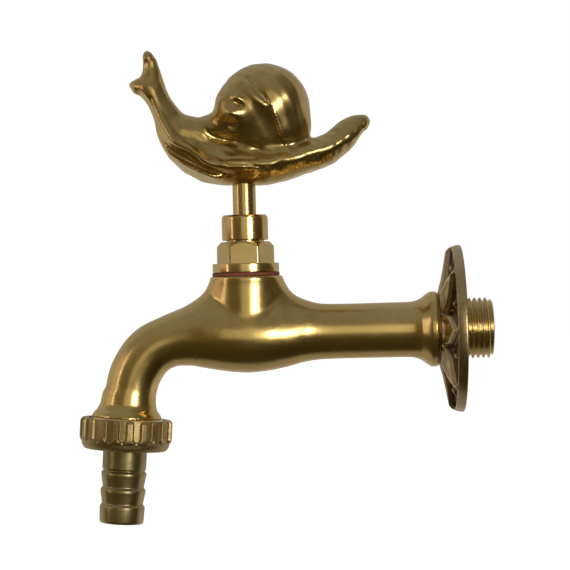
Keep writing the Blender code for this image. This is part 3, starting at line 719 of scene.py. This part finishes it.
def snail_field():
    core = oval_sweep(CORE)
    skirt = oval_sweep(SKIRT, 4)
    sole = oval_sweep(SOLE, 4)
    crest_x, crest_z = list(zip(*SKIRT))[:2]
    keel_x, keel_z, keel_slope = zip(*KEEL)

    def field(x, y, z):
        x = x - VALVE_X
        across = np.hypot(x, y)
        x = x - SNAIL_X
        side = np.sqrt(y * y + 0.04)
        above = z - np.interp(x, crest_x, crest_z)
        fillet = 1.1 + 1.5 * ease((x - 2) / 9) + 2.0 * ease((above + 1) / 2.5)
        f = smin(core(x, y, z), skirt(x, y, z), fillet)
        saddle = bead(x, side * 0.8, z, [(-25.4, 0, 71.6, 4.0), (-20.4, 0, 70.2, 4.9),
                                         (-15.4, 0, 69.9, 5.0), (-9, 0, 71.2, 5.4)])
        f = smin(smin(f, saddle, 2.0), sole(x, y, z), 1.0)
        low, slope = np.interp(x, keel_x, keel_z), np.interp(x, keel_x, keel_slope)
        f = smax(f, (low + slope * side - z) * 0.78, 0.9)
        shell = ellipsoid(x, y, z, (6.9, 0, 77.0), (16.1, 13.4, 16.2))
        shell = smin(shell, ellipsoid(x, y, z, (9.6, 0, 70.5), (13.4, 10.8, 11.0)), 3.0)
        shell = smin(shell, ellipsoid(x, side, z, (-1.0, 4.2, 77.0), (8.8, 8.8, 9.6), 14), 3.0)
        shell = smin(shell, ellipsoid(x, side, z, (10.0, 5.3, 80.6), (10.6, 8.1, 10.2)), 2.6)
        f = smin(f, shell, 2.8)
        f = f - snail_relief(x, z) * ease((side - 3.0) / 4.0) * ease((z - 55.5) / 1.5)
        f = smin(f, head_field(x, y, z), 2.0)
        brow = bead(x, side, z, [(-36.0, 2.0, 85.9, 0.8), (-34.2, 3.2, 85.2, 1.0),
                                 (-32.4, 3.6, 83.0, 0.8)])
        f = smin(f, brow, 1.4)
        wave = np.sin(x * 0.62 + 1.3) * np.sin(z * 0.55 + y * 0.2)
        wave = wave + 0.6 * np.sin(x * 1.15 + z * 0.8 + y)
        f = f - 0.08 * wave
        socket = smax(across - STEM_R - 0.35, z - STEM_TOP_Z - 0.6, 0.3)
        f = smax(f, -socket, 0.4)
        screw = np.hypot(x + SNAIL_X, z - SCREW_Z)
        return smax(f, np.minimum(SCREW_HOLE_R - screw, y - 2), 0.2)

    return field


def make_snail(mats):
    low, high = box_mm("snail_handle")
    snail = casting("snail_casting", snail_field(), (low[0] - 1, -15, low[2] - 1),
                    (high[0] + 1, 15, high[2] + 0.5), 0.38, 4)
    dress(snail, mats["handle"], "spindle_and_handle", "handle_brass", "snail_handle")


# ------------------------------------------------------------------ headwork

HEX_FLATS = 17.4
HEX_TURN = math.radians(-3.5)


def hexagon_shape(top, corner_r, chamfer):
    """Turns the outer radius into a hexagon with a chamfered crown."""
    def shape(angle, r, h):
        local = (angle - HEX_TURN) % (math.pi / 3) - math.pi / 6
        flat = HEX_FLATS / 2 / np.cos(local)
        crown = corner_r - np.maximum(h - (top - chamfer), 0) * 0.9
        six = -np.logaddexp(-flat * 12, -crown * 12) / 12
        six = np.minimum(six, corner_r)
        return np.where(r > 9.0, np.minimum(six, r), r)
    return shape


def make_headwork(mats):
    collar_low, collar_top, hex_top = GASKET_LOW_Z + 1.05, 24.2, 31.65
    bore, neck, stem_hole, bottom = 6.35, 6.5, 4.4, box_mm("bonnet")[0][2]
    collar = lathe("bonnet_collar", rounded([
        (bore, bottom, 0.3), (9.5, bottom, 0.4), (9.5, collar_low, 0), (11.5, collar_low, 0.2),
        (11.5, collar_top, 0.35), (8.0, collar_top, 0), (bore, collar_top, 0)]), 160,
        place=AT_VALVE)
    dress(collar, mats["machined"], "tap", "machined_brass", "bonnet")
    profile = rounded([(bore, collar_top - 0.2, 0), (10.2, collar_top - 0.2, 0), (10.2, hex_top, 0),
                       (8.3, hex_top, 0), (neck, hex_top, 0), (neck, BONNET_TOP_Z, 0.3),
                       (5.8, BONNET_TOP_Z, 0.2), (5.8, 32.6, 0), (stem_hole, 32.4, 0),
                       (stem_hole, 27.6, 0),
                       (bore, 27.0, 0)])
    profile = dense(profile, collar_top - 0.3, hex_top + 0.1, 0.22)
    nut = lathe("bonnet_hexagon", profile, 360, hexagon_shape(hex_top, 9.95, 1.7), 28, AT_VALVE)
    dress(nut, mats["machined"], "tap", "machined_brass", "bonnet")

    inner, outer, under, over = 9.85, 11.65, GASKET_LOW_Z - 0.25, GASKET_LOW_Z + 1.0
    seal = lathe("fibre_gasket", rounded([(inner, under, 0), (outer, under, 0.35),
                                          (outer, over, 0.35), (inner, over, 0)]), 128,
                 place=AT_VALVE)
    dress(seal, mats["fibre"], "tap", "fibre", "bonnet_gasket")

    low = box_mm("gland_nut")[0][2]
    gland = lathe("gland_cap", rounded([
        (6.8, low, 0.1), (8.0, low, 0.35), (8.0, GLAND_TOP_Z - 0.9, 0.3),
        (7.4, GLAND_TOP_Z - 0.1, 0.35), (4.35, GLAND_TOP_Z, 0.2), (4.35, 38.6, 0), (6.8, 38.6, 0)]),
        144, place=AT_VALVE)
    cutter = slot_cutter()
    notch = gland.modifiers.new("slots", 'BOOLEAN')
    notch.operation = 'DIFFERENCE'
    notch.object = cutter
    bake_modifiers(gland)
    bpy.data.objects.remove(cutter)
    dress(gland, mats["machined"], "tap", "machined_brass", "gland_nut")


def slot_cutter():
    """Two boxes across the top of the gland nut, for a pin spanner."""
    points, faces = [], []
    for side in (-1, 1):
        start = len(points)
        for sx in (-1, 1):
            for sy in (-1, 1):
                for sz in (-1, 1):
                    points.append((VALVE_X + side * 8.0 + sx * 1.8, sy * 1.1,
                                   GLAND_TOP_Z + sz * 1.6))
        for face in ((0, 1, 3, 2), (4, 6, 7, 5), (0, 4, 5, 1),
                     (2, 3, 7, 6), (0, 2, 6, 4), (1, 5, 7, 3)):
            faces.append([start + i for i in face])
    cutter = mesh_piece("slot_cutter", np.array(points), np.array(faces))
    return cutter


def bake_modifiers(obj):
    """Applies an object's modifiers to its mesh."""
    bpy.context.view_layer.update()
    evaluated = obj.evaluated_get(bpy.context.evaluated_depsgraph_get())
    mesh = bpy.data.meshes.new_from_object(evaluated)
    obj.modifiers.clear()
    obj.data = mesh


def make_spindle(mats):
    foot_z = box_mm("spindle")[0][2]
    stem = lathe("spindle_stem", rounded([
        (2.8, foot_z, 0.1), (6.0, foot_z, 0.5), (6.0, 20.3, 0.3), (STEM_R, 20.9, 0),
        (STEM_R, STEM_TOP_Z, 0.3), (0.02, STEM_TOP_Z, 0), (0.02, 14.4, 0), (2.8, 14.0, 0)]), 96,
        place=AT_VALVE)
    dress(stem, mats["machined"], "spindle_and_handle", "machined_brass", "spindle")


# -------------------------------------------------------------------- outlet

FLUTES = 20
FLUTE_DEPTH, FLUTE_HALF_WIDTH, FLUTE_FOOT = 1.45, 1.65, -12.9
FLUTED_R, FLUTE_FLOOR_R = 14.85, 15.0        # only what stands further out is fluted


def nut_shape(angle, r, h):
    """Round-ended flutes down the union nut's side, open at its top."""
    local = ((angle * FLUTES / (2 * math.pi) + 0.5) % 1 - 0.5) * 2 * math.pi * NUT_R / FLUTES
    foot = np.maximum(FLUTE_FOOT - h, 0)
    share = np.clip(1 - (np.hypot(local, foot) / FLUTE_HALF_WIDTH) ** 2.2, 0, 1) ** 0.65
    cut = np.maximum(r - FLUTE_DEPTH * share, np.minimum(r, FLUTE_FLOOR_R))
    return np.where(r > FLUTED_R, cut, r)


def make_outlet(mats):
    ledge = -15.4
    profile = rounded([(8.0, NUT_BOTTOM, 0.2), (14.0, NUT_BOTTOM, 1.0), (14.95, -16.4, 0.8),
                       (15.25, -15.1, 0.4), (15.8, -14.3, 0.5), (NUT_R, -13.4, 0.5),
                       (NUT_R, NUT_TOP - 1.0, 0.7), (15.3, NUT_TOP, 0.7),
                       (13.35, NUT_TOP, 0.3), (13.35, ledge, 0), (8.0, ledge, 0)], 5)
    profile = dense(profile, -14.8, NUT_TOP - 0.8, 0.3)
    nut = lathe("union_nut_casting", profile, 480, nut_shape, 50, AT_OUTLET)
    dress(nut, mats["cast"], "nut", "cast_brass", "union_nut")

    tail_r, tail_end, flange_top, flange_low = 7.6, -43.1, -13.1, -15.1
    barbs = []
    for ridge in (-25.6, -31.4, -37.2):
        barbs += [(7.1, ridge + 0.9, 0.6), (7.82, ridge, 0.3), (7.8, ridge - 0.8, 0.6)]
    barbs += [(7.6, tail_end, 1.9), (5.6, tail_end, 0.3)]
    profile = rounded([(5.0, tail_end + 0.6, 0.3), (5.0, flange_top, 0.2), (12.0, flange_top, 0.3),
                       (12.0, flange_low, 0.3), (tail_r, flange_low, 0), (tail_r, -24.2, 0.4),
                       *barbs])
    tail = lathe("hose_tail_turned", profile, 160, place=AT_OUTLET)
    dress(tail, mats["tail"], "hose_connector", "body_brass", "hose_tail")


# -------------------------------------------------------------------- flange

PETALS = 8
DOME = [(10.0, 8.0), (12.9, 8.0), (14.2, 7.6), (17.3, 6.7), (21.1, 5.95), (25.0, 5.4),
        (26.7, 5.1), (27.7, 4.15), (28.6, 2.35), (29.8, -1.0)]
BEAD_R = 22.6                                # small beads between the petals
HOLES = ((1.5, 24.4, 0.8), (0.0, 17.2, 0.65))  # beside the middle line, from the axis, radius


def dome_height(r):
    radii, heights = zip(*DOME)
    return np.interp(r, radii, heights)


def flange_drop(y, z):
    """How far the rosette's face lies below its dome, and the distance beside a cup's axis."""
    r = np.hypot(y, z)
    turn = np.arctan2(z, -y) * PETALS / (2 * math.pi)
    step = 2 * math.pi / PETALS
    across = np.abs(r * np.sin(((turn + 0.5) % 1 - 0.5) * step))
    beside = np.abs(r * np.sin((turn % 1 - 0.5) * step))
    width = np.interp(r, (12.0, 15.5, 19.5, 26.2), (4.2, 4.6, 4.1, 0.0))
    edge = width - across
    open_zone = ease((r - 12.9) / 1.2) * ease((28.1 - r) / 0.8)
    drop = 0.95 * ease((edge - 0.35) / 2.2) + 2.3 * ease((-edge - 0.2) / 0.9)
    drop = drop - 1.1 * bell(np.hypot(beside / 1.1, (r - BEAD_R) / 1.5), 1.0)
    return np.maximum(drop, 0) * open_zone, beside


def flange_field():
    """Domed rosette: eight pointed cups with raised edges, hollows and holes between."""
    def field(x, y, z):
        r = np.hypot(y, z)
        drop, beside = flange_drop(y, z)
        height = dome_height(r)
        rim = 0.2 * bell(r - 28.1, 0.4)
        front = (-x - (height + rim - drop)) * 0.85
        back = smax(-x - (height - 3.2), r - 26.4, 0.6)
        f = smax(front, -back, 0.3)
        f = smax(f, r - (FLANGE_R - 0.05), 0.8)
        f = smax(f, 10.9 - r, 0.3)
        f = smax(f, x + 0.05, 0.3)
        for aside, radius, size in HOLES:
            f = smax(f, size - np.hypot(beside - aside, r - radius), 0.5)
        return f

    return field


def make_flange(mats):
    def worn(x, y, z):
        drop = flange_drop(y, z)[0]
        below = dome_height(np.hypot(y, z)) - drop + x
        return np.maximum(ease((2.0 - drop) / 0.9), 0.7 * ease((below - 0.3) / 0.4))

    rosette = casting("rosette_casting", flange_field(), (-8.4, -29.4, -29.4),
                      (0.5, 29.4, 29.4), 0.34, worn=worn)
    dress(rosette, mats["antique"], "rosette", "antique_brass", "wall_flange")


# ----------------------------------------------------------------- small nodes

def dress_cad_nodes(mats):
    """Small inner pieces keep their CAD mesh and get a finished material."""
    for node, mat in (("gland_follower", "machined"), ("packing_ring_upper", "packing"),
                      ("packing_ring_lower", "packing"), ("handle_set_screw", "steel"),
                      ("jumper", "machined"), ("valve_washer", "rubber"),
                      ("washer_nut", "machined"), ("hose_washer", "rubber")):
        mesh = frame["nodes"][node].data
        mesh.materials.clear()
        mesh.materials.append(mats[mat])


# --------------------------------------------------------------- light, camera

FLOOR_Z = -0.125
VIEW_DISTANCE = 0.75
VIEW_CENTRE = (-0.0608, 0.01640)             # X and Z of the middle of the picture
VIEW_WIDTH = 0.1972                          # width of the picture at the middle plane
ROLL = math.radians(-1.35)
LIT_POINT = Vector((-0.06, 0, 0.015))        # what every light looks at


def make_camera():
    data = bpy.data.cameras.new("camera")
    data.sensor_width = 36.0
    data.lens = data.sensor_width * VIEW_DISTANCE / VIEW_WIDTH
    data.clip_end = 20.0
    camera = bpy.data.objects.new("camera", data)
    camera.rotation_mode = 'XYZ'
    camera.matrix_world = (Matrix.Translation((VIEW_CENTRE[0], -VIEW_DISTANCE, VIEW_CENTRE[1]))
                           @ Matrix.Rotation(math.pi / 2, 4, 'X') @ Matrix.Rotation(ROLL, 4, 'Z'))
    bpy.context.scene.collection.objects.link(camera)
    bpy.context.scene.camera = camera


def area_light(name, azimuth, elevation, distance, size, radiance, colour=(1, 1, 1)):
    """A soft box that looks at the tap: azimuth 0 is beside the camera, 90 to its right."""
    data = bpy.data.lights.new(name, 'AREA')
    data.shape = 'RECTANGLE'
    data.size, data.size_y = size
    data.energy = radiance * math.pi * size[0] * size[1]
    data.color = colour
    light = bpy.data.objects.new(name, data)
    a, e = math.radians(azimuth), math.radians(elevation)
    away = Vector((math.sin(a) * math.cos(e), -math.cos(a) * math.cos(e), math.sin(e)))
    light.location = LIT_POINT + away * distance
    light.rotation_euler = away.to_track_quat('Z', 'Y').to_euler()
    light.visible_camera = False
    bpy.context.scene.collection.objects.link(light)


def mixed(tree, blend, share, first, second):
    """A colour mix in the world's tree; share is a number or a socket."""
    mix = tree.nodes.new('ShaderNodeMix')
    mix.data_type = 'RGBA'
    mix.blend_type = blend
    if isinstance(share, float):
        mix.inputs["Factor"].default_value = share
    else:
        tree.links.new(share, mix.inputs["Factor"])
    tree.links.new(first, mix.inputs[6])
    tree.links.new(second, mix.inputs[7])
    return mix.outputs[2]


def make_world():
    """Studio surroundings as the metal sees them: a dim room in front, white behind."""
    world = bpy.data.worlds.new("studio")
    bpy.context.scene.world = world
    world.use_nodes = True
    tree = world.node_tree
    place = tree.nodes.new('ShaderNodeTexCoord')
    split = tree.nodes.new('ShaderNodeSeparateXYZ')
    tree.links.new(place.outputs["Generated"], split.inputs[0])

    def ramp(axis, *stops):
        """Colour against one part of the direction, from -1 to 1."""
        scaled = tree.nodes.new('ShaderNodeMapRange')
        scaled.inputs["From Min"].default_value = -1
        tree.links.new(split.outputs[axis], scaled.inputs["Value"])
        made = tree.nodes.new('ShaderNodeValToRGB')
        made.color_ramp.interpolation = 'EASE'
        elements = made.color_ramp.elements
        while len(elements) < len(stops):
            elements.new(0.5)
        for element, (spot, value) in zip(elements, stops):
            element.position = (spot + 1) / 2
            element.color = (*value, 1)
        tree.links.new(scaled.outputs[0], made.inputs["Fac"])
        return made.outputs["Color"]

    room = ramp("Z", (-1, (0.048, 0.038, 0.016)), (-0.5, (0.062, 0.048, 0.020)),
                (-0.1, (0.12, 0.095, 0.050)), (0.15, (0.172, 0.145, 0.092)),
                (0.6, (0.255, 0.24, 0.21)), (1, (0.27, 0.27, 0.28)))
    paper = ramp("Z", (-1, (0.29, 0.27, 0.26)), (-0.75, (0.35, 0.33, 0.31)),
                 (-0.35, (0.56, 0.54, 0.50)), (0, (0.44, 0.42, 0.39)), (1, (0.34, 0.34, 0.35)))
    behind = ramp("Y", (0.05, (0, 0, 0)), (0.25, (1, 1, 1)))
    dim = ramp("X", (0.1, (1, 1, 1)), (0.55, (0.60, 0.60, 0.58)), (0.92, (0.48, 0.48, 0.46)))
    room = mixed(tree, 'MULTIPLY', 1.0, room, dim)
    around = mixed(tree, 'MIX', behind, room, paper)
    tree.links.new(around, tree.nodes["Background"].inputs["Color"])


def pale(name, colour, glow):
    mat = bpy.data.materials.new(name)
    mat.use_nodes = True
    bsdf = mat.node_tree.nodes["Principled BSDF"]
    bsdf.inputs["Base Color"].default_value = (*colour, 1)
    bsdf.inputs["Roughness"].default_value = 0.9
    bsdf.inputs["Specular IOR Level"].default_value = 0.0
    bsdf.inputs["Emission Color"].default_value = (1, 1, 1, 1)
    bsdf.inputs["Emission Strength"].default_value = glow
    return mat


def make_stage():
    """A pale floor below the tap and a pale sky, which the metal doesn't mirror."""
    bpy.ops.mesh.primitive_circle_add(vertices=96, radius=4.5, fill_type='NGON',
                                      location=(0, 0, FLOOR_Z))
    floor = bpy.context.object
    floor.name = "floor"
    floor.data.materials.append(pale("pale_floor", (0.8, 0.8, 0.8), 0.86))
    bpy.ops.mesh.primitive_uv_sphere_add(segments=48, ring_count=24, radius=5.0)
    sky = bpy.context.object
    sky.name = "pale_backdrop"
    sky.data.materials.append(pale("pale_sky", (0, 0, 0), 1.0))
    for obj in (floor, sky):
        obj.visible_glossy = False
    sky.visible_diffuse = False
    sky.visible_shadow = False
    sky.visible_transmission = False


def make_lights():
    area_light("key_softbox", 26, 2, 0.9, (0.27, 0.26), 10.5, (1.0, 0.98, 0.93))
    area_light("key_glow", 6, 6, 0.92, (0.80, 0.50), 0.42, (1.0, 0.96, 0.86))
    area_light("left_strip", -67, 8, 0.9, (0.05, 0.60), 3.6, (1.0, 0.84, 0.82))
    area_light("left_panel", -86, 13, 0.95, (0.42, 0.46), 0.46, (1.0, 0.72, 0.78))


def main():
    mats = make_materials()
    make_camera()
    make_world()
    make_stage()
    make_lights()
    make_body(mats)
    make_snail(mats)
    make_headwork(mats)
    make_spindle(mats)
    make_outlet(mats)
    make_flange(mats)
    dress_cad_nodes(mats)
    bpy.context.scene.view_settings.view_transform = 'Standard'


main()
